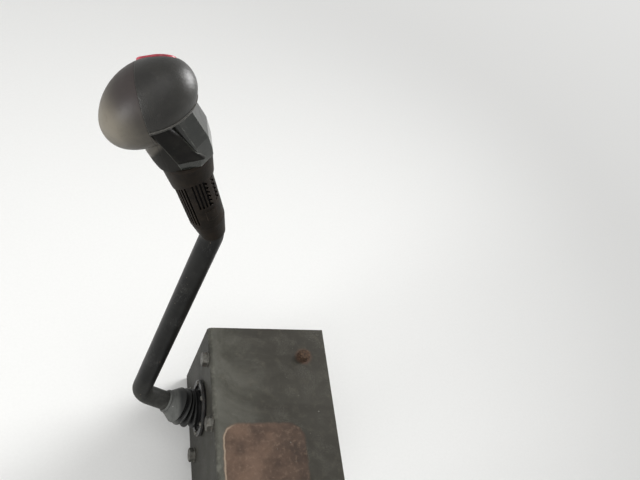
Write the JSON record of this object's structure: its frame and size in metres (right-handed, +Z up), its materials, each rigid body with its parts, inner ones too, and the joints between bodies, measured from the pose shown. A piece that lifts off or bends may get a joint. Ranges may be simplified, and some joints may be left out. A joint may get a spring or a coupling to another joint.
{
  "type": "control lever of a skid steer loader with its riser panel",
  "caption": "Right-hand drive and bucket control lever with a moulded egg-headed grip, bent tube arm, rubber bellows, two-axis sprung pivot and folded riser panel.",
  "frame": {"origin": "centre of the riser's bolt pattern, where the pivot shaft's axis meets the riser's front face", "axes": "+X to the rear of the machine, along the pivot shaft; +Y to the machine's right side, along the pitch axis; +Z up"},
  "size_m": [0.3469, 0.2507, 0.647],
  "materials": {
    "deck_paint": "worn satin paint with rust",
    "bracket_steel": "black paint",
    "bush_rubber": "matt",
    "ring_steel": "black paint",
    "bellows_rubber": "dusty matt",
    "cradle_iron": "cast",
    "zinc_steel": "zinc plated",
    "tube_paint": "satin black paint",
    "sleeve_rubber": "matt",
    "grip_front": "soft satin",
    "grip_rear": "soft satin",
    "core_gloss": "moulded gloss",
    "switch_red": "gloss",
    "rocker_black": "matt"
  },
  "bodies": {
    "riser": {"riser_panel": "deck_paint", "bearing_cheek_left": "bracket_steel", "bearing_cheek_right": "bracket_steel", "torsion_bush_left": "bush_rubber", "torsion_bush_right": "bush_rubber", "bellows_ring": "ring_steel", "bellows": "bellows_rubber"},
    "cradle": {"cradle": "cradle_iron", "roll_torsion_bush_front": "bush_rubber", "roll_torsion_bush_rear": "bush_rubber", "drive_arm": "bracket_steel", "drive_ball_stud": "zinc_steel"},
    "lever": {"roll_shaft": "zinc_steel", "valve_arm": "bracket_steel", "valve_ball_stud": "zinc_steel", "shaft_washer": "zinc_steel", "shaft_nut": "zinc_steel", "lever_tube": "tube_paint", "grip_sleeve": "sleeve_rubber", "grip_collar": "sleeve_rubber", "grip_core": "core_gloss", "grip_front_shell": "grip_front", "grip_rear_shell": "grip_rear", "palm_flange": "grip_rear", "switch_plate": "switch_red", "switch_rocker": "rocker_black"}
  },
  "joints": [
    {"name": "lever_pitch", "type": "hinge", "parent": "riser", "child": "cradle", "pos_m": [0.046, 0, 0], "axis": [0, 1, 0], "range_deg": [-10, 10], "stiffness_Nm_per_rad": 80, "deforming": ["bellows"]},
    {"name": "lever_roll", "type": "hinge", "parent": "cradle", "child": "lever", "pos_m": [0.046, 0, 0], "axis": [1, 0, 0], "range_deg": [-10, 10], "stiffness_Nm_per_rad": 60, "deforming": ["bellows"]}
  ]
}
